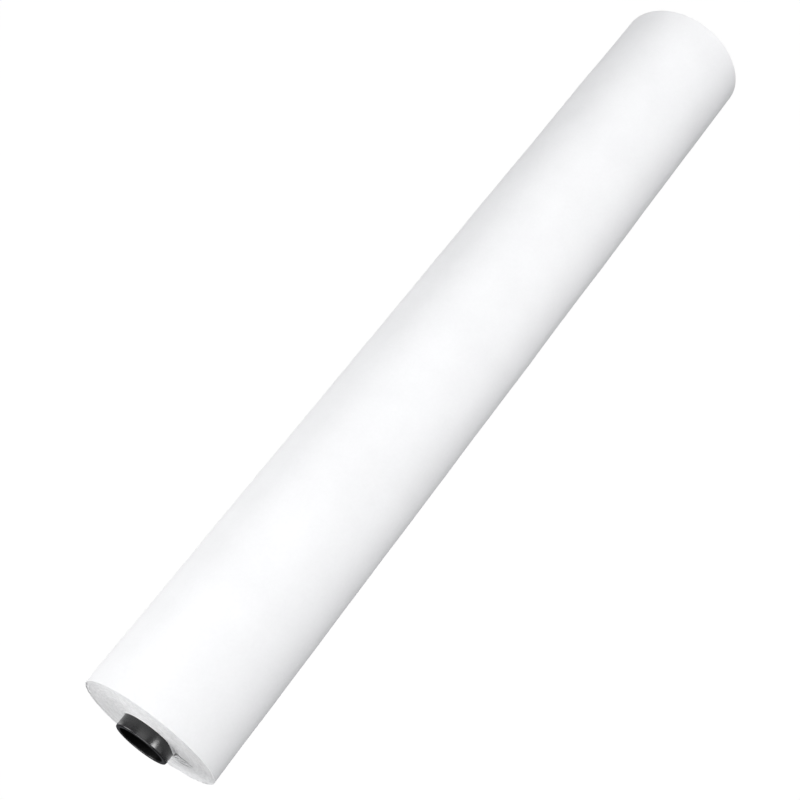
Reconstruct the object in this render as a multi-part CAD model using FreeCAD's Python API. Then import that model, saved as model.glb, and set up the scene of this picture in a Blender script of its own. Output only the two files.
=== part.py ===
"""Backdrop paper roll: seamless studio background paper wound on a board core with moulded end bushings.

Frame: +X runs along the roll from its near end to its far end, +Z is up, and the origin is on the core's
axis at mid length. Angles are clock angles about the axis, in degrees, from +Z (top) towards +Y (rear).
All sizes are in millimetres.
"""

import FreeCAD
import Part

import math
import os

from FreeCAD import Vector

# Driving dimensions
WEB_WIDTH = 1350.0  # the paper's width, which is the roll's length between its end faces
WEB_RADIUS = 99.6  # outside of the wound paper, under the tail
CORE_RADIUS = 38.5  # outside of the board core and of the bushing collars
CORE_WALL = 3.5
BORE_RADIUS = 32.5  # crossbar bore through both bushings
COLLAR_LENGTH = 18.0  # how far each bushing stands out of the paper
SPIGOT_LENGTH = 45.0  # how far each bushing reaches into the core

# Paper laps that are drawn one by one, thicker than the 0.2 mm sheet so that they stay solid
LAP = 0.6
LAP_GAP = 0.15
TAIL_GAP = 0.3  # the tail rests this far off the lap below it

# Tail: the free end of the paper, over the outer lap on the rear and underside
TAIL_ROOT_ANGLE = 80.0
TAIL_EDGE_ANGLE = 150.0
SEAM_ANGLE = 0.3  # half the slit where the outer lap turns into the tail

# Crescent hollow beside the core, over the crease where the start of the paper was turned over
CREASE_ANGLE = 251.0
CREASE_RADIUS = 12.0
CREASE_DEPTH = 4.0

# Bushing details
COLLAR_OUTER_ROUND = 1.6
COLLAR_INNER_ROUND = 1.2
SPIGOT_CLEARANCE = 0.5
RIB_CLEARANCE = 0.08
RIB_ROOT = 0.1  # how deep a rib is rooted in the spigot
RIB_COUNT = 8
RIB_ANGLE = 2.4
RIB_ENDS = (-38.0, -4.0)  # along the axis from the collar's back face
SPIGOT_LEAD_IN = (3.0, 1.0)  # length and depth of the chamfer on the spigot's tip
END_SEAT_GAP = 0.2  # between a collar's back face and the core's end

# Adhesive tapes
STARTER_TAPE_THICKNESS = 0.2
STARTER_TAPE_GAP = 0.05
STARTER_TAPE_WIDTH = 50.0
STARTER_TAPE_ANGLES = (262.0, 318.0)
STARTER_TAPE_POSITIONS = (-450.0, 0.0, 450.0)
CLOSING_TAPE_THICKNESS = 0.25
CLOSING_TAPE_WIDTH = 48.0
CLOSING_TAPE_REACH = 18.0  # degrees that a tape covers on each side of the tail's edge
CLOSING_TAPE_POSITIONS = (-520.0, 0.0, 520.0)
CLOSING_TAPE_GAP = 0.05
TAIL_EDGE_CLEARANCE = 0.4  # degrees between the tail's edge and the tape's step

# Worked out
HALF_WEB = WEB_WIDTH / 2
CORE_BORE_RADIUS = CORE_RADIUS - CORE_WALL
STARTER_TAPE_INNER = CORE_RADIUS + STARTER_TAPE_GAP
FIRST_LAP_INNER = STARTER_TAPE_INNER + STARTER_TAPE_THICKNESS + STARTER_TAPE_GAP
WINDINGS_INNER = FIRST_LAP_INNER + LAP + LAP_GAP
WINDINGS_OUTER = WEB_RADIUS - LAP - LAP_GAP
TAIL_INNER = WEB_RADIUS + TAIL_GAP
TAIL_OUTER = TAIL_INNER + LAP

AXIS_START = Vector(0, 0, 0)
TURN_AXIS = Vector(-1, 0, 0)  # a turn about it goes from +Z towards +Y
FULL_TURN = 360.0


def turned(profile, start_angle=0.0, end_angle=FULL_TURN):
    """The solid that a closed profile in the XZ plane sweeps about the roll's axis, between two angles."""
    solid = Part.Face(profile).revolve(AXIS_START, TURN_AXIS, end_angle - start_angle)
    solid.rotate(AXIS_START, TURN_AXIS, start_angle)
    return solid


def rectangle(x_low, x_high, r_low, r_high):
    """A rectangular profile: x along the axis, r away from it."""
    corners = [(x_low, r_low), (x_high, r_low), (x_high, r_high), (x_low, r_high), (x_low, r_low)]
    return Part.makePolygon([Vector(x, 0, r) for x, r in corners])


def shell(x_low, x_high, r_low, r_high, start_angle=0.0, end_angle=FULL_TURN):
    """A tube, or a curved strip of one, about the roll's axis."""
    return turned(rectangle(x_low, x_high, r_low, r_high), start_angle, end_angle)


def on_circle(radius, angle, x=0.0):
    """The point at a radius and clock angle about the roll's axis."""
    turn = math.radians(angle)
    return Vector(x, radius * math.sin(turn), radius * math.cos(turn))


def core_tube():
    end = HALF_WEB - END_SEAT_GAP
    return shell(-end, end, CORE_BORE_RADIUS, CORE_RADIUS)


def quarter_round(centre_x, centre_r, radius, from_angle, to_angle):
    """An arc of a rounded edge in the XZ plane, its angles in degrees from +X towards +Z."""

    def at(angle):
        turn = math.radians(angle)
        return Vector(centre_x + radius * math.cos(turn), 0, centre_r + radius * math.sin(turn))

    return Part.Arc(at(from_angle), at((from_angle + to_angle) / 2), at(to_angle)).toShape()


def bushing_profile():
    """The outline of the far bushing: a rounded collar outside the paper and a plain spigot in the core."""
    back = HALF_WEB
    tip = back - SPIGOT_LENGTH
    front = back + COLLAR_LENGTH
    spigot_radius = CORE_BORE_RADIUS - SPIGOT_CLEARANCE
    lead_length, lead_depth = SPIGOT_LEAD_IN
    outline = [
        (front, BORE_RADIUS + COLLAR_INNER_ROUND),
        (front, CORE_RADIUS - COLLAR_OUTER_ROUND),
        (front - COLLAR_OUTER_ROUND, CORE_RADIUS),
        (back, CORE_RADIUS),
        (back, spigot_radius),
        (tip + lead_length, spigot_radius),
        (tip, spigot_radius - lead_depth),
        (tip, BORE_RADIUS),
        (front - COLLAR_INNER_ROUND, BORE_RADIUS),
    ]
    points = [Vector(x, 0, r) for x, r in outline]
    rim_face = Part.makeLine(points[0], points[1])
    outer_round = quarter_round(
        front - COLLAR_OUTER_ROUND, CORE_RADIUS - COLLAR_OUTER_ROUND, COLLAR_OUTER_ROUND, 0, 90
    )
    straight = [Part.makeLine(a, b) for a, b in zip(points[2:], points[3:])]
    inner_round = quarter_round(
        front - COLLAR_INNER_ROUND, BORE_RADIUS + COLLAR_INNER_ROUND, COLLAR_INNER_ROUND, 270, 360
    )
    return Part.Wire([rim_face, outer_round, *straight, inner_round])


def far_bushing():
    """A moulded bushing: collar, spigot and the crush ribs that grip the core's bore."""
    body = turned(bushing_profile())
    rib_root = CORE_BORE_RADIUS - SPIGOT_CLEARANCE - RIB_ROOT
    rib_top = CORE_BORE_RADIUS - RIB_CLEARANCE
    rib_start, rib_end = (HALF_WEB + along for along in RIB_ENDS)
    for number in range(RIB_COUNT):
        angle = number * FULL_TURN / RIB_COUNT
        body = body.fuse(shell(rib_start, rib_end, rib_root, rib_top, angle, angle + RIB_ANGLE))
    return body.removeSplitter()


def near_bushing():
    return far_bushing().mirror(AXIS_START, Vector(1, 0, 0))


def first_lap():
    """The innermost turn of paper, which starts at the crease and lies on the starter tapes."""
    start = CREASE_ANGLE + SEAM_ANGLE
    end = CREASE_ANGLE + FULL_TURN - SEAM_ANGLE
    return shell(-HALF_WEB, HALF_WEB, FIRST_LAP_INNER, FIRST_LAP_INNER + LAP, start, end)


def windings():
    """All the turns between the first lap and the outer one, with the crease's hollow beside the core."""
    bulk = shell(-HALF_WEB, HALF_WEB, WINDINGS_INNER, WINDINGS_OUTER)
    crease_centre_radius = WINDINGS_INNER + CREASE_DEPTH - CREASE_RADIUS
    crease_start = on_circle(crease_centre_radius, CREASE_ANGLE, -HALF_WEB)
    crease = Part.makeCylinder(CREASE_RADIUS, WEB_WIDTH, crease_start, Vector(1, 0, 0))
    return bulk.cut(crease)


def outer_lap():
    """The last full turn of paper, which ends where the tail begins."""
    start = TAIL_ROOT_ANGLE + SEAM_ANGLE
    end = TAIL_ROOT_ANGLE + FULL_TURN - SEAM_ANGLE
    return shell(-HALF_WEB, HALF_WEB, WEB_RADIUS - LAP, WEB_RADIUS, start, end)


def tail():
    """The paper's free end, lying on the outer lap."""
    return shell(-HALF_WEB, HALF_WEB, TAIL_INNER, TAIL_OUTER, TAIL_ROOT_ANGLE, TAIL_EDGE_ANGLE)


def starter_tape(position):
    """A patch of tape that holds the start of the paper to the core."""
    low, high = position - STARTER_TAPE_WIDTH / 2, position + STARTER_TAPE_WIDTH / 2
    outside = STARTER_TAPE_INNER + STARTER_TAPE_THICKNESS
    return shell(low, high, STARTER_TAPE_INNER, outside, *STARTER_TAPE_ANGLES)


def closing_tape(position):
    """A strip of tape that steps down from the tail to the outer lap and keeps the roll closed."""
    low, high = position - CLOSING_TAPE_WIDTH / 2, position + CLOSING_TAPE_WIDTH / 2
    on_tail = TAIL_OUTER + CLOSING_TAPE_GAP
    on_lap = WEB_RADIUS + TAIL_GAP
    step_start = TAIL_EDGE_ANGLE + TAIL_EDGE_CLEARANCE
    step_end = step_start + TAIL_EDGE_CLEARANCE
    upper_top = on_tail + CLOSING_TAPE_THICKNESS
    lower_top = on_lap + CLOSING_TAPE_THICKNESS
    upper = shell(low, high, on_tail, upper_top, TAIL_EDGE_ANGLE - CLOSING_TAPE_REACH, step_end)
    step = shell(low, high, on_lap, upper_top, step_start, step_end)
    lower = shell(low, high, on_lap, lower_top, step_start, TAIL_EDGE_ANGLE + CLOSING_TAPE_REACH)
    return upper.fuse(step).fuse(lower).removeSplitter()


def export(name, shape):
    if not shape.isValid():
        raise ValueError(f"{name} is not a valid solid")
    shape.exportStep(f"parts/{name}.step")
    print(f"{name}: {len(shape.Solids)} solid, {shape.Volume / 1000:.1f} cm3")


def main():
    os.makedirs("parts", exist_ok=True)
    export("core_tube", core_tube())
    export("end_bushing_near", near_bushing())
    export("end_bushing_far", far_bushing())
    export("paper_first_lap", first_lap())
    export("paper_windings", windings())
    export("paper_outer_lap", outer_lap())
    export("paper_tail", tail())
    for number, position in enumerate(STARTER_TAPE_POSITIONS, 1):
        export(f"starter_tape_{number}", starter_tape(position))
    for number, position in enumerate(CLOSING_TAPE_POSITIONS, 1):
        export(f"closing_tape_{number}", closing_tape(position))


main()
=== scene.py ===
"""The looks of the backdrop paper roll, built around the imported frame.

+X runs along the roll from its near end to its far end and +Z is up. Clock angles are in degrees about the
roll's axis, from +Z (top) towards +Y (rear). Sizes are in metres. A share is a number from 0 to 1.
"""

import math

import bpy
import numpy as np
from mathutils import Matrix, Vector


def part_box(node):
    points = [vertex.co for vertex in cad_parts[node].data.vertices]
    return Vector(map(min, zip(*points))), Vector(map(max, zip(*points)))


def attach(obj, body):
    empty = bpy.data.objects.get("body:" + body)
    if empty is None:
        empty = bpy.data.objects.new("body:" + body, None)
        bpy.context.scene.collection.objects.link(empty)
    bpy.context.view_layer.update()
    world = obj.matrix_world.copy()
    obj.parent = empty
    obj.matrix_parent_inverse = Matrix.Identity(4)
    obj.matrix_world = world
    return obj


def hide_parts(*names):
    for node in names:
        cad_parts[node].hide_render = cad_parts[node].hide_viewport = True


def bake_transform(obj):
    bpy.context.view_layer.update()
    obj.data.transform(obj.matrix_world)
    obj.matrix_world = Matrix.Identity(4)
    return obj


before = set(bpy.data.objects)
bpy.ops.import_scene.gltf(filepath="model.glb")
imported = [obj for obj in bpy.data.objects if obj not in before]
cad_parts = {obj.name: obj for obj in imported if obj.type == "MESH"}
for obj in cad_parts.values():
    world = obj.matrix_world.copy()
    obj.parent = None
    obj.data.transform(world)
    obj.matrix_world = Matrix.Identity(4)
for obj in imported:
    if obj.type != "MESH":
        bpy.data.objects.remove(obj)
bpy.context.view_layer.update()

MM = 0.001
FULL_TURN = 360.0

# ---------------------------------------------------------------- sizes from the frame


def radii(node):
    """The least and greatest distance of a CAD node's vertices from the roll's axis."""
    away = [math.hypot(v.co.y, v.co.z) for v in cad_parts[node].data.vertices]
    return min(away), max(away)


def clock_angle(point):
    return math.degrees(math.atan2(point[1], point[2])) % FULL_TURN


def clock_span(node):
    """The least and greatest clock angle of a CAD node that doesn't cross the top."""
    angles = [clock_angle(v.co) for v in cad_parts[node].data.vertices]
    return min(angles), max(angles)


HALF_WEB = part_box("paper_outer_lap")[1].x
CORE_INNER, CORE_OUTER = radii("core_tube")
FIRST_INNER = radii("paper_first_lap")[0]
WINDINGS_INNER, WINDINGS_OUTER = radii("paper_windings")
LAP_OUTER = radii("paper_outer_lap")[1]
TAIL_INNER, TAIL_OUTER = radii("paper_tail")
TAIL_ROOT, TAIL_EDGE = clock_span("paper_tail")

# ---------------------------------------------------------------- mesh helpers


def on_roll(x, radius, angle):
    """Points at distances and clock angles about the roll's axis. The three arguments broadcast."""
    turn = np.radians(angle)
    return np.stack(np.broadcast_arrays(x, radius * np.sin(turn), radius * np.cos(turn)), axis=-1)


def quads(rows, columns, wrap_rows, wrap_columns, first=0):
    """The faces of a grid of vertices that starts at vertex number first."""
    number = first + np.arange(rows * columns).reshape(rows, columns)
    if wrap_rows:
        number = np.vstack([number, number[:1]])
    if wrap_columns:
        number = np.hstack([number, number[:, :1]])
    corners = [number[:-1, :-1], number[1:, :-1], number[1:, 1:], number[:-1, 1:]]
    return np.stack(corners, axis=-1).reshape(-1, 4)


def make_mesh(name, vertices, faces, material, sharp_angle=35.0):
    """A smooth-shaded object, whose edges stay sharp where its faces turn by more than sharp_angle."""
    mesh = bpy.data.meshes.new(name)
    mesh.from_pydata(vertices.reshape(-1, 3).tolist(), [], faces.tolist())
    mesh.validate()
    mesh.materials.append(material)
    mesh.shade_smooth()
    mesh.set_sharp_from_angle(angle=math.radians(sharp_angle))
    piece = bpy.data.objects.new(name, mesh)
    bpy.context.scene.collection.objects.link(piece)
    return piece


def border_strip(top, bottom):
    """The faces that join two open rows of vertex numbers."""
    return np.stack([top[:-1], bottom[:-1], bottom[1:], top[1:]], axis=-1)


def plate(name, top, bottom, material, wrap=False):
    """A closed thin solid between two grids of points. With wrap, its last row joins its first."""
    rows, columns = top.shape[:2]
    count = rows * columns
    upper = np.arange(count).reshape(rows, columns)
    lower = upper + count
    faces = [quads(rows, columns, wrap, False), quads(rows, columns, wrap, False, count)[:, ::-1]]
    left, right = (upper[:, 0], lower[:, 0]), (upper[:, -1], lower[:, -1])
    if wrap:
        left, right = ([np.append(line, line[0]) for line in side] for side in (left, right))
    faces += [border_strip(*left)[:, ::-1], border_strip(*right)]
    if not wrap:
        faces += [border_strip(upper[0], lower[0]), border_strip(upper[-1], lower[-1])[:, ::-1]]
    return make_mesh(name, np.stack([top, bottom]), np.concatenate(faces), material)


def spaced(*stretches):
    """Numbers over stretches of (start, end, step), each without its own end."""
    return np.concatenate([np.arange(*stretch) for stretch in stretches])


def eased(share):
    """The same share, with a smooth start and end."""
    return share * share * (3 - 2 * share)


def bump(value, centre, half_width):
    """1 at centre, falling smoothly to 0 at half_width from it."""
    return eased(np.clip(1 - np.abs(value - centre) / half_width, 0, 1))


def angle_bump(angle, centre, half_width):
    """The same for clock angles, going round past the top."""
    away = (np.asarray(angle) - centre + FULL_TURN / 2) % FULL_TURN - FULL_TURN / 2
    return bump(away, 0, half_width)


def layer_noise(rng, radius, pitch):
    """Random offsets from -1 to 1 that change along the radius, with one new value each pitch."""
    knots = np.arange(0, 2 * WINDINGS_OUTER, pitch)
    return np.interp(radius, knots, rng.uniform(-1, 1, len(knots)))


RIPPLE_TURNS = 7  # a wave of a ripple goes round the roll fewer times than this


def ripple(rng, along, angle, count, shortest, longest):
    """Gentle random waves over the roll's surface, from -1 to 1. Along is x, and angle is in degrees."""
    total = np.zeros(np.broadcast(along, angle).shape)
    for _ in range(count):
        length = rng.uniform(shortest, longest)
        turns = rng.integers(0, RIPPLE_TURNS)
        phase = rng.uniform(0, 2 * np.pi)
        total = total + np.cos(2 * np.pi * along / length + turns * np.radians(angle) + phase)
    return total / count


# ---------------------------------------------------------------- materials


class Shader:
    """A Principled material and short ways to add the nodes of its detail."""

    def __init__(self, name, color, roughness, ior=1.5):
        self.material = bpy.data.materials.new(name)
        self.material.use_nodes = True
        self.nodes = self.material.node_tree.nodes
        self.links = self.material.node_tree.links
        self.shader = self.nodes["Principled BSDF"]
        self.shader.inputs["Base Color"].default_value = (*color, 1)
        self.shader.inputs["Roughness"].default_value = roughness
        self.shader.inputs["IOR"].default_value = ior
        self.place = self.nodes.new("ShaderNodeTexCoord").outputs["Object"]

    def put(self, socket, value):
        """Links an output to a socket, or sets the socket to a plain value."""
        if isinstance(value, bpy.types.NodeSocket):
            self.links.new(value, socket)
        else:
            socket.default_value = value

    def math(self, operation, *values):
        node = self.nodes.new("ShaderNodeMath")
        node.operation = operation
        for socket, value in zip(node.inputs, values):
            self.put(socket, value)
        return node.outputs[0]

    def stretched(self, scale):
        """The object's coordinates, stretched by a scale along each axis."""
        node = self.nodes.new("ShaderNodeVectorMath")
        node.operation = "MULTIPLY"
        self.put(node.inputs[0], self.place)
        node.inputs[1].default_value = scale
        return node.outputs[0]

    def axis_distance(self):
        """The distance from the roll's axis."""
        node = self.nodes.new("ShaderNodeVectorMath")
        node.operation = "LENGTH"
        self.put(node.inputs[0], self.stretched((0, 1, 1)))
        return node.outputs["Value"]

    def noise_over(self, dimensions, input_name, value, scale, detail, roughness):
        node = self.nodes.new("ShaderNodeTexNoise")
        node.noise_dimensions = dimensions
        self.put(node.inputs[input_name], value)
        node.inputs["Scale"].default_value = scale
        node.inputs["Detail"].default_value = detail
        node.inputs["Roughness"].default_value = roughness
        return node.outputs["Fac"]

    def noise(self, vector, scale, detail=2.0, roughness=0.5):
        return self.noise_over("3D", "Vector", vector, scale, detail, roughness)

    def line_noise(self, value, scale, detail=2.0, roughness=0.5):
        """Noise that changes along one value only, such as the distance from the axis."""
        return self.noise_over("1D", "W", value, scale, detail, roughness)

    def vertex_shade(self, name):
        node = self.nodes.new("ShaderNodeVertexColor")
        node.layer_name = name
        return node.outputs["Color"]

    def blend_colors(self, factor, low, high, start=0.3, end=0.7):
        """A colour that goes from low to high as the factor goes from start to end."""
        node = self.nodes.new("ShaderNodeValToRGB")
        self.put(node.inputs["Fac"], factor)
        for element, place, color in zip(node.color_ramp.elements, (start, end), (low, high)):
            element.position = place
            element.color = (*color, 1)
        return node.outputs["Color"]

    def multiply(self, first, *others):
        """The product of two or more colours."""
        product = first
        for other in others:
            node = self.nodes.new("ShaderNodeMix")
            node.data_type = "RGBA"
            node.blend_type = "MULTIPLY"
            node.inputs["Factor"].default_value = 1.0
            color_inputs = [socket for socket in node.inputs if socket.type == "RGBA"]
            for socket, color in zip(color_inputs, (product, other)):
                self.links.new(color, socket)
            product = next(socket for socket in node.outputs if socket.type == "RGBA")
        return product

    def color(self, output):
        self.links.new(output, self.shader.inputs["Base Color"])

    def roughness(self, factor, low, high):
        node = self.nodes.new("ShaderNodeMapRange")
        self.put(node.inputs["Value"], factor)
        node.inputs["To Min"].default_value = low
        node.inputs["To Max"].default_value = high
        self.links.new(node.outputs["Result"], self.shader.inputs["Roughness"])

    def raise_surface(self, height, distance):
        """Bumps the surface by up to distance metres where height goes from 0 to 1."""
        node = self.nodes.new("ShaderNodeBump")
        node.inputs["Strength"].default_value = 1.0
        node.inputs["Distance"].default_value = distance
        self.links.new(height, node.inputs["Height"])
        before = self.shader.inputs["Normal"].links
        if before:
            self.links.new(before[0].from_socket, node.inputs["Normal"])
        self.links.new(node.outputs["Normal"], self.shader.inputs["Normal"])


PAINTED_SHADE_AND_SHEEN = "painted_gap_shade_and_sheen"  # vertex colours of painted shade that darkens the gaps and of a painted sheen on the wound edges


def grey(level):
    return (level, level, level)


def paper_face_material():
    """The matt face of white seamless paper: faint cloudy formation and a fine felt of fibres."""
    paper = Shader("seamless_paper_face", grey(0.9), 0.82)
    clouds = paper.noise(paper.place, 14.0, detail=3.0)
    formation = paper.noise(paper.place, 260.0, detail=4.0, roughness=0.65)
    broad = paper.blend_colors(clouds, grey(0.885), grey(0.915))
    fine = paper.blend_colors(formation, grey(0.975), grey(1.0))
    paper.color(paper.multiply(broad, fine))
    fibres = paper.noise(paper.stretched((1.0, 0.35, 0.35)), 1900.0, detail=3.0, roughness=0.7)
    paper.roughness(formation, 0.74, 0.9)
    paper.raise_surface(fibres, 0.06 * MM)
    paper.raise_surface(formation, 0.12 * MM)
    return paper.material


def paper_edge_material():
    """The wound edges of the layers: fine concentric lines, blotches and specks, greyer than the face."""
    paper = Shader("seamless_paper_edges", grey(0.8), 0.88)
    wander = paper.math("MULTIPLY", paper.noise(paper.place, 30.0), 1.6 * MM)
    radius = paper.math("ADD", paper.axis_distance(), wander)
    bands = paper.line_noise(radius, 330.0)
    lines = paper.line_noise(radius, 2200.0, roughness=0.6)
    blotches = paper.noise(paper.place, 75.0, detail=5.0, roughness=0.7)
    specks = paper.noise(paper.place, 240.0, detail=3.0, roughness=0.6)
    broad = paper.blend_colors(bands, grey(0.9), grey(0.98))
    fine = paper.blend_colors(lines, grey(0.88), grey(1.0))
    patchy = paper.blend_colors(blotches, grey(0.83), grey(1.0))
    grainy = paper.blend_colors(specks, grey(0.86), grey(1.0))
    # the vertex colours multiply in painted shade in the gaps and a painted sheen on the edges
    paper.color(paper.multiply(broad, fine, patchy, grainy, paper.vertex_shade(PAINTED_SHADE_AND_SHEEN)))
    paper.roughness(lines, 0.8, 0.95)
    paper.raise_surface(lines, 0.3 * MM)
    paper.raise_surface(blotches, 0.4 * MM)
    return paper.material


def board_material():
    """Spiral-wound grey-brown board with long fibres and darker flecks."""
    board = Shader("core_board", (0.4, 0.29, 0.18), 0.85)
    fibres = board.noise(board.stretched((0.25, 1.0, 1.0)), 700.0, detail=4.0, roughness=0.7)
    patches = board.noise(board.place, 35.0, detail=3.0)
    tone = board.blend_colors(patches, (0.36, 0.26, 0.16), (0.46, 0.34, 0.22))
    fleck = board.blend_colors(fibres, grey(0.72), grey(1.0))
    board.color(board.multiply(tone, fleck))
    board.roughness(fibres, 0.75, 0.95)
    board.raise_surface(fibres, 0.2 * MM)
    return board.material


def bushing_material():
    """Black moulded plastic with a soft gloss, faint flow marks and fine handling scratches."""
    plastic = Shader("black_moulded_plastic", grey(0.004), 0.24, ior=1.64)
    flow = plastic.noise(plastic.place, 60.0, detail=3.0)
    grain = plastic.noise(plastic.place, 1400.0)
    scratches = plastic.noise(plastic.stretched((1.0, 14.0, 14.0)), 90.0, detail=3.0, roughness=0.7)
    plastic.color(plastic.blend_colors(flow, grey(0.002), grey(0.007)))
    plastic.roughness(scratches, 0.22, 0.28)
    plastic.raise_surface(grain, 0.01 * MM)
    plastic.raise_surface(flow, 0.12 * MM)
    return plastic.material


def tape_material(name, low, high):
    """Creped paper tape: fine cross ridges and a slightly waxy surface."""
    tape = Shader(name, low, 0.6)
    crepe = tape.noise(tape.stretched((3.0, 1.0, 1.0)), 420.0, detail=3.0, roughness=0.6)
    tape.color(tape.blend_colors(crepe, low, high))
    tape.roughness(crepe, 0.5, 0.72)
    tape.raise_surface(crepe, 0.15 * MM)
    return tape.material


PAPER = paper_face_material()
EDGES = paper_edge_material()
BOARD = board_material()
PLASTIC = bushing_material()
CLOSING_TAPE = tape_material("closing_tape_paper", (0.72, 0.69, 0.6), (0.82, 0.8, 0.72))
STARTER_TAPE = tape_material("starter_tape_kraft", (0.55, 0.42, 0.26), (0.68, 0.54, 0.36))

# ---------------------------------------------------------------- end faces of the wound paper

CREASE_ANGLE = 251.0  # where the hem of the first lap dents every turn above it
CREASE_HEIGHT, CREASE_HALF_WIDTH = 4.5 * MM, 13.0
SLACK_HEIGHT, SLACK_HALF_WIDTH = 0.9 * MM, 42.0  # the turns also stand off a little, over a wider stretch
SLACK_ANGLE = CREASE_ANGLE + 12.0

SLIT_ROOT, SLIT_TIP = 42.0 * MM, 67.0 * MM  # the stretch of parted layers above the crease
SLIT_STEP = 1.9 * MM  # spacing of the layers that part there
SLIT_WIDTH = 1.4  # half its width in mm, along its outer part
SLIT_FLARE, SLIT_FLARE_RATE = 2.2, 1.6  # what its root adds to that, and how soon the flare ends
SLIT_EYE = 0.9  # what the eye near its tip adds
SLIT_EYE_AT, SLIT_EYE_LENGTH = 0.9, 0.1  # as shares of its length
SLIT_SCALLOP = 0.3  # share of the width that comes and goes with each layer
SLIT_WANDER, SLIT_WANDER_PITCH = 0.35 * MM, 3 * MM

EDGE_SOFTNESS = 0.45 * MM
GAP_DEPTH = 7.0 * MM
RIDGE_HEIGHT = 0.5 * MM
INNER_RIM_HEIGHT, INNER_RIM_WIDTH = 0.6 * MM, 2.2 * MM  # the innermost layers stand out a little
STREAK_TAPER = 0.7  # the lower this power, the blunter a streak's ends
STREAK_FADE = 0.3 * MM  # where its half width is less than this, a streak is less deep too

SHADE_FROM, SHADE_TO = 0.03, 0.1  # the shares of a gap's depth between which its painted shade goes from none to full
DARKEST_GAP = 0.15  # the colour left at the full painted shade in a gap, since gaps go far deeper into the real roll than they are modelled

SHEEN_LEVEL, SHEEN_SWING, SHEEN_ANGLE = 1.03, 0.1, 10.0  # the painted sheen is palest at this clock angle and opposite it
RIM_SHEEN, RIM_SHEEN_AT = 0.14, (222.0, 50.0)  # extra painted sheen along the rim: middle and half width, in degrees
RIM_SHEEN_FROM, RIM_SHEEN_FULL = 74 * MM, 86 * MM

LAYER_RELIEF = ((0.2, 8.0), (0.16, 2.6), (0.12, 0.9))  # (height, pitch) of the layers' offsets in mm
SWAY_HEIGHT, SWAY_PITCH, SWAY_TWIST = 0.2 * MM, 12 * MM, 40.0  # offsets that differ from side to side

# (clock angle, radius in mm) of each end, half the width in mm, and the share of the full depth or height
NEAR_PARTINGS = (
    ((94, 96.6), (160, 92.6), 1.7, 0.05),
    ((60, 96.6), (30, 95.6), 0.8, 0.04),
    ((206, 57.8), (244, 67.0), 1.4, 0.6),
    ((208, 52.8), (248, 58.8), 1.3, 0.8),
    ((203, 47.4), (242, 51.0), 0.9, 0.6),
    ((188, 62.4), (222, 66.5), 0.6, 0.2),
    ((187, 77.0), (211, 78.0), 0.6, 0.1),
)
NEAR_RIDGES = (
    ((203, 55.0), (246, 62.4), 1.1, 1.0),
    ((198, 50.5), (244, 53.8), 0.8, 1.0),
)
FAR_PARTINGS = (
    ((30, 96.3), (64, 95.7), 0.8, 0.06),
    ((270, 95.5), (318, 96.2), 0.8, 0.06),
)


def crease_radius(angle):
    """The windings' inner radius: round the first lap, and further out over the crease's hollow."""
    slack = SLACK_HEIGHT * angle_bump(angle, SLACK_ANGLE, SLACK_HALF_WIDTH)
    return WINDINGS_INNER + slack + CREASE_HEIGHT * angle_bump(angle, CREASE_ANGLE, CREASE_HALF_WIDTH)


def covered(half_width, away):
    """1 within half_width, 0 outside it, over a soft border."""
    return np.clip((half_width - np.abs(away)) / EDGE_SOFTNESS + 0.5, 0, 1)


def slit(rng, radius, angle):
    """The row of small gaps above the crease, from 0 to 1: wide at the core, tapering, with an eye."""
    along = (radius - SLIT_ROOT) / (SLIT_TIP - SLIT_ROOT)
    taper = SLIT_WIDTH + SLIT_FLARE * np.clip(1 - SLIT_FLARE_RATE * along, 0, 1)
    scallop = (1 - SLIT_SCALLOP) + SLIT_SCALLOP * np.abs(np.sin(np.pi * radius / SLIT_STEP))
    eye = SLIT_EYE * bump(along, SLIT_EYE_AT, SLIT_EYE_LENGTH)
    wander = SLIT_WANDER * layer_noise(rng, radius, SLIT_WANDER_PITCH)
    turn = np.radians(angle - CREASE_ANGLE)
    inside = (along > 0) & (along < 1) & (np.cos(turn) > 0)
    return covered((taper * scallop + eye) * MM, radius * np.sin(turn) + wander) * inside


def streak(radius, angle, start, end, half_width):
    """A parting or ridge between layers, from 0 to 1, bending out from one (clock angle, mm) to another."""
    share = (angle - start[0]) / (end[0] - start[0])
    centre = (start[1] + (end[1] - start[1]) * share * share) * MM
    width = half_width * MM * np.clip(4 * share * (1 - share), 0, 1) ** STREAK_TAPER
    inside = (share > 0) & (share < 1)
    return covered(width, radius - centre) * np.clip(width / STREAK_FADE, 0, 1) * inside


def end_relief(seed, radius, angle):
    """How far the layers' edges stand out of the plane end, over a grid of radii and clock angles."""
    rng = np.random.default_rng(seed)
    relief = sum(height * MM * layer_noise(rng, radius, pitch * MM) for height, pitch in LAYER_RELIEF)
    lean = np.cos(np.radians(angle) + SWAY_TWIST * radius / HALF_WEB)
    return relief + SWAY_HEIGHT * layer_noise(rng, radius, SWAY_PITCH) * lean


def painted_edge_sheen(radius, angle):
    """The edges' painted sheen: paler where their lines lie across the light, and at the lower front rim.
    """
    across = SHEEN_LEVEL + SHEEN_SWING * np.cos(2 * np.radians(angle - SHEEN_ANGLE))
    rim = np.clip((radius - RIM_SHEEN_FROM) / (RIM_SHEEN_FULL - RIM_SHEEN_FROM), 0, 1)
    return across + RIM_SHEEN * angle_bump(angle, *RIM_SHEEN_AT) * rim


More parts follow.
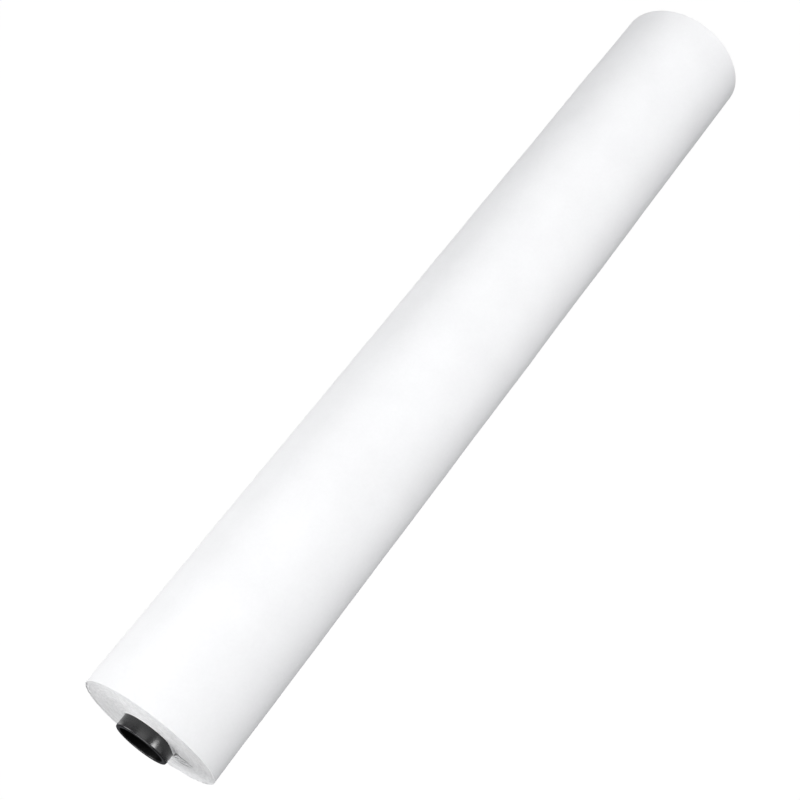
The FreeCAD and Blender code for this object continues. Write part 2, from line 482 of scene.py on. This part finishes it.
def end_face(seed, slit_share, partings, ridges):
    """A function that gives an end's relief and how open its gaps are."""

    def shape(radius, angle):
        rim = INNER_RIM_HEIGHT * bump(radius, WINDINGS_INNER, INNER_RIM_WIDTH)
        relief = end_relief(seed, radius, angle) + rim
        for start, end, half_width, share in ridges:
            relief = relief + RIDGE_HEIGHT * share * streak(radius, angle, start, end, half_width)
        opened = slit_share * slit(np.random.default_rng(seed + 1), radius, angle)
        for start, end, half_width, share in partings:
            opened = np.maximum(opened, share * streak(radius, angle, start, end, half_width))
        return relief - GAP_DEPTH * opened, opened

    return shape


# (start, end, step) of the clock angles and the radii of the end faces' vertices, finest over the slit
FACE_ANGLES = ((0, 40, 2), (40, 160, 1), (160, 196, 1.5), (196, 266, 0.4), (266, FULL_TURN, 2))
FACE_RADII = (
    (WINDINGS_INNER, 70 * MM, 0.36 * MM),
    (70 * MM, 92 * MM, 0.8 * MM),
    (92 * MM, WINDINGS_OUTER, 0.33 * MM),
)
FACE_INSET = 0.3 * MM  # the plane of the layers' edges lies this far inside the web's width
LAP_CLEARANCE = 0.05 * MM


def wound_paper():
    """All the turns between the first lap and the outer one, as one ring with modelled end faces."""
    angles = spaced(*FACE_ANGLES)
    near_radii = spaced(*FACE_RADII)
    far_radii = near_radii[::-2]  # the far end is coarser, and its rings go on from the near end's last
    near_end = end_face(11, slit_share=1.0, partings=NEAR_PARTINGS, ridges=NEAR_RIDGES)
    far_end = end_face(23, slit_share=0.0, partings=FAR_PARTINGS, ridges=())
    inner = crease_radius(angles)[None, :]
    outer = WINDINGS_OUTER - LAP_CLEARANCE
    grids, shades = [], []
    for side, ring_radii, end in ((-1, near_radii, near_end), (1, far_radii, far_end)):
        share = (ring_radii - ring_radii.min()) / (ring_radii.max() - ring_radii.min())
        radius = inner + share[:, None] * (outer - inner)
        angle = np.broadcast_to(angles, radius.shape)
        relief, opened = end(radius, angle)
        grids.append(on_roll(side * (HALF_WEB - FACE_INSET + relief), radius, angle))
        # painted shade darkens the gaps, over the edges' painted sheen
        dark = np.clip((opened - SHADE_FROM) / (SHADE_TO - SHADE_FROM), 0, 1)
        shades.append(painted_edge_sheen(radius, angle) * (1 - (1 - DARKEST_GAP) * dark))
    rows = sum(len(grid) for grid in grids)
    faces = quads(rows, len(angles), True, True)
    piece = make_mesh("wound_paper", np.concatenate(grids), faces, EDGES, sharp_angle=60.0)
    shade = np.concatenate(shades).ravel()
    colors = np.stack([shade, shade, shade, np.ones(len(shade))], axis=-1)
    layer = piece.data.color_attributes.new(PAINTED_SHADE_AND_SHEEN, "FLOAT_COLOR", "POINT")
    layer.data.foreach_set("color", colors.ravel())
    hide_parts("paper_windings")
    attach(piece, "roll")


# ---------------------------------------------------------------- outer lap and tail

SHEET = 0.5 * MM  # drawn thickness of the outer lap and the tail
WAVE_HEIGHT = 0.55 * MM
WAVE_LOWEST, WAVE_HIGHEST = -0.2 * MM, 0.45 * MM
WAVE_FADE = 60 * MM  # the waves die away over this distance from each end
LAP_RISE_TURN = 60.0  # the lap rises onto the tail over this turn
NEAR_PROUD, FAR_PROUD = 0.15 * MM, 1.6 * MM  # how far the lap's edges stand out of the ends
NEAR_PROUD_AT, FAR_PROUD_AT = (72.0, 45.0), (262.0, 40.0)  # middle and half width, in degrees
CUT_WANDER = 0.25  # degrees that the cut edge wanders by
TAPE_HOLD = 120 * MM  # a closing tape holds the cut edge down this far to each side
CUT_LIFT = 1.3 * MM  # how far the edge stands off between the tapes
CUT_LIFT_FROM = 3 / 4  # the share of the tail from which it does
BEND_TURN = 35.0  # a turn from the tail's root; tail() works out the points at both its ends, but nothing bends the sheet
LAP_ROWS, LAP_COLUMNS = 262, 122  # of vertices, round the roll and along it
TAIL_ROWS, TAIL_COLUMNS = 56, 181


def surface_waves(x, angle):
    """Gentle hollows and ridges of the outer layers, which die away towards both ends."""
    rng = np.random.default_rng(3)
    inland = np.clip((HALF_WEB - np.abs(x)) / WAVE_FADE, 0, 1)
    waves = WAVE_HEIGHT * ripple(rng, x, angle, count=6, shortest=0.07, longest=0.45) * inland
    return np.clip(waves, WAVE_LOWEST, WAVE_HIGHEST)


def lap_rise(angle):
    """How far the lap stands over its own start: it rises onto the tail before its end."""
    rise_from = TAIL_ROOT + FULL_TURN - LAP_RISE_TURN
    return (TAIL_OUTER - LAP_OUTER) * eased(np.clip((angle - rise_from) / LAP_RISE_TURN, 0, 1))


def outer_lap():
    """The last full turn of paper, its near edge a little proud at the rear and its far edge in front."""
    angle = np.linspace(TAIL_ROOT, TAIL_ROOT + FULL_TURN, LAP_ROWS)[:, None]
    share = np.linspace(-1, 1, LAP_COLUMNS)[None, :]
    near_edge = HALF_WEB + NEAR_PROUD * angle_bump(angle, *NEAR_PROUD_AT)
    far_edge = HALF_WEB + FAR_PROUD * angle_bump(angle, *FAR_PROUD_AT)
    x = np.where(share < 0, near_edge, far_edge) * share
    level = LAP_OUTER + surface_waves(x, angle)
    top = on_roll(x, level + lap_rise(angle), angle)
    bottom = on_roll(x, level - SHEET, angle)  # level all round, so that no wedge is open below the rise
    piece = plate("outer_lap_sheet", top, bottom, PAPER)
    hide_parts("paper_outer_lap")
    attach(piece, "roll")


def tail():
    """The free end of the web, round the roll from its root to its cut edge, which stands off a little
    between the tapes.
    """
    rng = np.random.default_rng(4)
    x = np.linspace(-1, 1, TAIL_COLUMNS)[None, :] * HALF_WEB
    share = np.linspace(0, 1, TAIL_ROWS)[:, None]
    cut = TAIL_EDGE + CUT_WANDER * ripple(rng, x, 0.0, count=5, shortest=0.05, longest=0.5)
    angle = TAIL_ROOT + share * (cut - TAIL_ROOT)
    spans = [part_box(f"closing_tape_{number}") for number in (1, 2, 3)]
    held = sum(bump(x, (low.x + high.x) / 2, TAPE_HOLD) for low, high in spans)
    near_cut = np.clip((share - CUT_LIFT_FROM) / (1 - CUT_LIFT_FROM), 0, 1)
    lift = CUT_LIFT * np.clip(1 - held, 0, 1) * near_cut**2
    radius = TAIL_OUTER + lift + surface_waves(x, angle)
    top = on_roll(x, radius, angle)
    bottom = on_roll(x, radius - SHEET, angle)
    piece = plate("tail_sheet", top, bottom, PAPER)
    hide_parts("paper_tail")
    bend = [on_roll(0, TAIL_INNER, angle).tolist() for angle in (TAIL_ROOT, TAIL_ROOT + BEND_TURN)]
    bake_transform(piece)


# ---------------------------------------------------------------- first lap

FIRST_SHEET = 0.35 * MM  # drawn thickness of the first lap
HEM_EDGE, HEM_FOLD = CREASE_ANGLE + 24.0, CREASE_ANGLE - 1.0  # the turned-over start lies between these
HEM_HEIGHT, HEM_SLOPE_TURN, HEM_LOWEST = 1.1 * MM, 12.0, 0.45
FOLD_REACH = 1.6  # degrees that the fold bulges past HEM_FOLD
LAP_END_GAP = 4.0  # degrees between the end of the lap and its fold
CLIMB_TURN, CLIMB_HEIGHT = 36.0, 2.6 * MM  # the lap's end climbs over the fold
FIRST_PROUD = 0.5 * MM  # how far it stands out of the ends all round
HEM_PROUD = 3.6 * MM  # how much further it does near the hem
HEM_PROUD_AT = (CREASE_ANGLE + 17, 45)  # middle and half width, in degrees
HEM_POINTS, FOLD_POINTS, TURN_POINTS = 14, 7, 150
FIRST_COLUMNS = 12


def first_lap_path():
    """The first lap's cross-section as (y, z) points, from the hem's edge to the end of the lap."""
    level = FIRST_INNER + FIRST_SHEET / 2
    hem = np.linspace(HEM_EDGE, HEM_FOLD, HEM_POINTS)
    hem_radius = level + HEM_HEIGHT * np.clip((HEM_EDGE - hem) / HEM_SLOPE_TURN, HEM_LOWEST, 1)
    fold = np.linspace(0, math.pi, FOLD_POINTS + 2)[1:-1]
    fold_angle = HEM_FOLD - FOLD_REACH * np.sin(fold)
    fold_radius = level + HEM_HEIGHT / 2 * (1 + np.cos(fold))
    lap_end = HEM_FOLD + FULL_TURN - LAP_END_GAP
    turn = np.linspace(HEM_FOLD, lap_end, TURN_POINTS)
    climb = np.clip((turn - (lap_end - CLIMB_TURN)) / CLIMB_TURN, 0, 1)
    turn_radius = level + CLIMB_HEIGHT * climb * climb
    angle = np.concatenate([hem, fold_angle, turn])
    radius = np.concatenate([hem_radius, fold_radius, turn_radius])
    return angle, on_roll(0.0, radius, angle)[:, 1:]


def swept(x, path):
    """A grid of points: a path of (y, z) points, repeated at its own distances x along the roll."""
    section = np.broadcast_to(path[:, None, :], (*x.shape, 2))
    return np.concatenate([x[:, :, None], section], axis=2)


def first_lap():
    """The first turn, whose turned-over start makes the hem that the crease's hollow lies over."""
    angle, path = first_lap_path()
    step = np.gradient(path, axis=0)
    normal = np.stack([step[:, 1], -step[:, 0]], axis=-1)
    normal *= -FIRST_SHEET / 2 / np.linalg.norm(normal, axis=1, keepdims=True)
    proud = HEM_PROUD * angle_bump(angle, *HEM_PROUD_AT) + FIRST_PROUD
    x = np.linspace(-1, 1, FIRST_COLUMNS)[None, :] * (HALF_WEB + proud)[:, None]
    piece = plate("first_lap_sheet", swept(x, path + normal), swept(x, path - normal), PAPER)
    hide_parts("paper_first_lap")
    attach(piece, "roll")


# ---------------------------------------------------------------- tapes

TAPE_SHEET = 0.18 * MM
TAPE_OVER_TAIL, TAPE_OVER_LAP = 0.35 * MM, 0.55 * MM  # how far its outside stands off each of them
TAPE_STEP_TURN = 1.6  # it steps down from the tail to the lap over this turn
TOOTH_PITCH, TOOTH_DEPTH = 1.5 * MM, 0.5  # of its torn ends, the depth in degrees
CRINKLE_HEIGHT, CRINKLE_CROWDING = 0.08 * MM, 12  # the crowding packs more crinkles round the roll
TAPE_ROWS, TAPE_COLUMNS = 73, 97


def closing_tape(number):
    """A strip over the tail's edge: it steps down to the lap below and has saw-toothed torn ends."""
    node = f"closing_tape_{number}"
    low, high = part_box(node)
    start, end = clock_span(node)
    rng = np.random.default_rng(40 + number)
    x = np.linspace(low.x, high.x, TAPE_COLUMNS)[None, :]
    teeth = np.abs((x - low.x) / TOOTH_PITCH % 1 - 0.5) * 2
    share = np.linspace(0, 1, TAPE_ROWS)[:, None]
    angle = start + share * (end - start) + TOOTH_DEPTH * teeth * (2 * share - 1)
    step = eased(np.clip((angle - TAIL_EDGE) / TAPE_STEP_TURN, 0, 1))
    high_level = TAIL_OUTER + TAPE_OVER_TAIL
    low_level = LAP_OUTER + TAPE_OVER_LAP
    crowded = angle * CRINKLE_CROWDING
    crinkle = CRINKLE_HEIGHT * ripple(rng, x, crowded, count=12, shortest=0.006, longest=0.05)
    radius = high_level + (low_level - high_level) * step + crinkle + surface_waves(x, angle)
    top = on_roll(x, radius, angle)
    bottom = on_roll(x, radius - TAPE_SHEET, angle)
    piece = plate(f"closing_tape_strip_{number}", top, bottom, CLOSING_TAPE)
    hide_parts(node)
    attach(piece, "tail")


# ---------------------------------------------------------------- core

PLY_LEAD = 130 * MM  # length along the core of one turn of the wound plies
PLY_SEAM_DEPTH = 0.3 * MM
CORE_SIDES, CORE_RINGS = 48, 360


def core_board():
    """The board core, with the helical joints of its inner and outer plies as shallow grooves."""
    low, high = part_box("core_tube")
    x = np.linspace(low.x, high.x, CORE_RINGS)[None, :]
    turn = np.arange(CORE_SIDES)[:, None] * FULL_TURN / CORE_SIDES
    angle = turn + FULL_TURN * x / PLY_LEAD
    seam = PLY_SEAM_DEPTH * (turn == 0)
    outside = on_roll(x, CORE_OUTER - seam, angle)
    inside = on_roll(x, CORE_INNER + seam, angle)
    piece = plate("core_board", outside, inside, BOARD, wrap=True)
    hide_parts("core_tube")
    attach(piece, "roll")


# ---------------------------------------------------------------- carried-over CAD nodes


def dress(node, material):
    """Gives a CAD node that keeps its own shape its finished material."""
    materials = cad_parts[node].data.materials
    materials.clear()
    materials.append(material)


# ---------------------------------------------------------------- stage, lights and camera

CAMERA_AZIMUTH = -55.89
CAMERA_ELEVATION = 58.46
CAMERA_TARGET = Vector((-0.1076, 0.0149, 0.0))
CAMERA_DISTANCE = 2.061
CAMERA_LENS = 66.67
CAMERA_SENSOR = 36.0

FLOOR_LEVEL = -2.4  # the roll hangs from its crossbar, well above the floor
COVE_RADIUS = 8.0
COVE_BEND = 3.0
COVE_HEIGHT = 12.0
COVE_WHITE, COVE_GREY = 1.0, 0.72  # the glow at the floor, and higher up the wall
COVE_GREY_FROM = 0.35  # the share of the height from which the wall is grey
FLOOR_HOLE = 1 * MM  # radius of the hole that is left in the middle of the floor
COVE_SIDES, COVE_BEND_RINGS = 96, 24

LIGHTS = {
    # name: (place, the point it faces, size, power)
    "overhead_softbox": ((0.0, 0.0, 2.5), (0.0, 0.0, 0.0), 2.0, 18.0),
    "front_softbox": ((-0.27, -2.16, 1.38), (-0.3, 0.0, 0.0), 0.7, 25.0),
    "front_low_fill": ((0.2, -2.5, 0.2), (0.0, 0.0, 0.0), 1.2, 6.1),
    "near_end_fill": ((-2.15, 0.0, 0.46), (0.0, 0.0, 0.0), 1.2, 18.2),
    "rear_near_fill": ((-1.17, 1.39, 0.85), (0.0, 0.0, 0.0), 1.0, 16.2),
    "far_end_fill": ((2.6, 0.1, -0.3), (0.0, 0.0, 0.0), 1.2, 25.0),
    "rear_low_fill": ((0.3, 2.0, -1.0), (0.0, 0.0, 0.0), 1.5, 12.0),
    "rear_far_fill": ((1.4, 1.6, 1.6), (0.3, 0.0, 0.0), 1.0, 2.0),
    "far_top_fill": ((1.3, -0.4, 2.0), (0.5, 0.0, 0.0), 0.8, 13.6),
}
DOME_ABOVE, DOME_BELOW = 0.2, 0.13
DOME_TINT = (0.97, 0.99, 1.06)
HORIZON_FROM, HORIZON_TO = 0.47, 0.53  # shares of the way from straight down to straight up


def direction(azimuth, elevation):
    """The unit vector towards a place round the object; azimuth 0 is the front, -Y, and 90 is +X."""
    a, e = math.radians(azimuth), math.radians(elevation)
    return Vector((math.sin(a) * math.cos(e), -math.cos(a) * math.cos(e), math.sin(e)))


def aim(thing, place, target):
    thing.location = place
    thing.rotation_mode = "QUATERNION"
    thing.rotation_quaternion = (target - place).to_track_quat("-Z", "Y")


def add_light(name, place, target, size, power):
    light = bpy.data.lights.new(name, "AREA")
    light.size = size
    light.energy = power
    lamp = bpy.data.objects.new(name, light)
    lamp.visible_camera = False
    bpy.context.scene.collection.objects.link(lamp)
    aim(lamp, Vector(place), Vector(target))


def cove_material():
    """A backdrop that glows by itself, white at the floor and pale grey up the wall."""
    paint = Shader("studio_cove", grey(0.0), 1.0)
    split = paint.nodes.new("ShaderNodeSeparateXYZ")
    paint.put(split.inputs[0], paint.place)
    height = paint.math("DIVIDE", paint.math("SUBTRACT", split.outputs["Z"], FLOOR_LEVEL), COVE_HEIGHT)
    tone = paint.blend_colors(height, grey(COVE_WHITE), grey(COVE_GREY), start=0.0, end=COVE_GREY_FROM)
    paint.links.new(tone, paint.shader.inputs["Emission Color"])
    paint.shader.inputs["Emission Strength"].default_value = 1.0
    return paint.material


def add_cove():
    """A plain studio floor that curves up into a wall all round. Only the camera sees it."""
    bend = np.linspace(0, math.pi / 2, COVE_BEND_RINGS)
    flat = COVE_RADIUS - COVE_BEND
    out = np.concatenate([[FLOOR_HOLE], flat + COVE_BEND * np.sin(bend), [COVE_RADIUS]])
    up = np.concatenate([[0.0], COVE_BEND * (1 - np.cos(bend)), [COVE_HEIGHT]])
    turn = np.linspace(0, 2 * np.pi, COVE_SIDES + 1)[:-1, None]
    points = np.broadcast_arrays(out * np.cos(turn), out * np.sin(turn), FLOOR_LEVEL + up)
    rings = np.stack(points, axis=-1)
    faces = quads(*rings.shape[:2], True, False)[:, ::-1]
    cove = make_mesh("studio_cove", rings, faces, cove_material())
    cove.visible_diffuse = False
    cove.visible_glossy = False
    cove.visible_shadow = False


def add_world():
    """An even, faintly blue dome of light, a little darker below the horizon."""
    world = bpy.data.worlds.new("studio_dome")
    bpy.context.scene.world = world
    world.use_nodes = True
    nodes, links = world.node_tree.nodes, world.node_tree.links
    place = nodes.new("ShaderNodeTexCoord")
    split = nodes.new("ShaderNodeSeparateXYZ")
    ramp = nodes.new("ShaderNodeValToRGB")
    upward = nodes.new("ShaderNodeMapRange")
    upward.inputs["From Min"].default_value = -1
    links.new(place.outputs["Generated"], split.inputs[0])
    links.new(split.outputs["Z"], upward.inputs["Value"])
    links.new(upward.outputs["Result"], ramp.inputs["Fac"])
    stops = ((HORIZON_FROM, DOME_BELOW), (HORIZON_TO, DOME_ABOVE))
    for element, (position, level) in zip(ramp.color_ramp.elements, stops):
        element.position = position
        element.color = (*(level * share for share in DOME_TINT), 1)
    links.new(ramp.outputs["Color"], nodes["Background"].inputs["Color"])
    nodes["Background"].inputs["Strength"].default_value = 1.0


def add_camera():
    camera = bpy.data.cameras.new("camera")
    camera.lens = CAMERA_LENS
    camera.sensor_width = CAMERA_SENSOR
    eye = bpy.data.objects.new("camera", camera)
    bpy.context.scene.collection.objects.link(eye)
    place = CAMERA_TARGET + direction(CAMERA_AZIMUTH, CAMERA_ELEVATION) * CAMERA_DISTANCE
    aim(eye, place, CAMERA_TARGET)
    bpy.context.scene.camera = eye


# ---------------------------------------------------------------- build

wound_paper()
outer_lap()
tail()
first_lap()
core_board()
for tape_number in (1, 2, 3):
    closing_tape(tape_number)
    dress(f"starter_tape_{tape_number}", STARTER_TAPE)
dress("end_bushing_near", PLASTIC)
dress("end_bushing_far", PLASTIC)

add_cove()
add_world()
for light_name, facts in LIGHTS.items():
    add_light(light_name, *facts)
add_camera()
bpy.context.scene.view_settings.view_transform = "Standard"
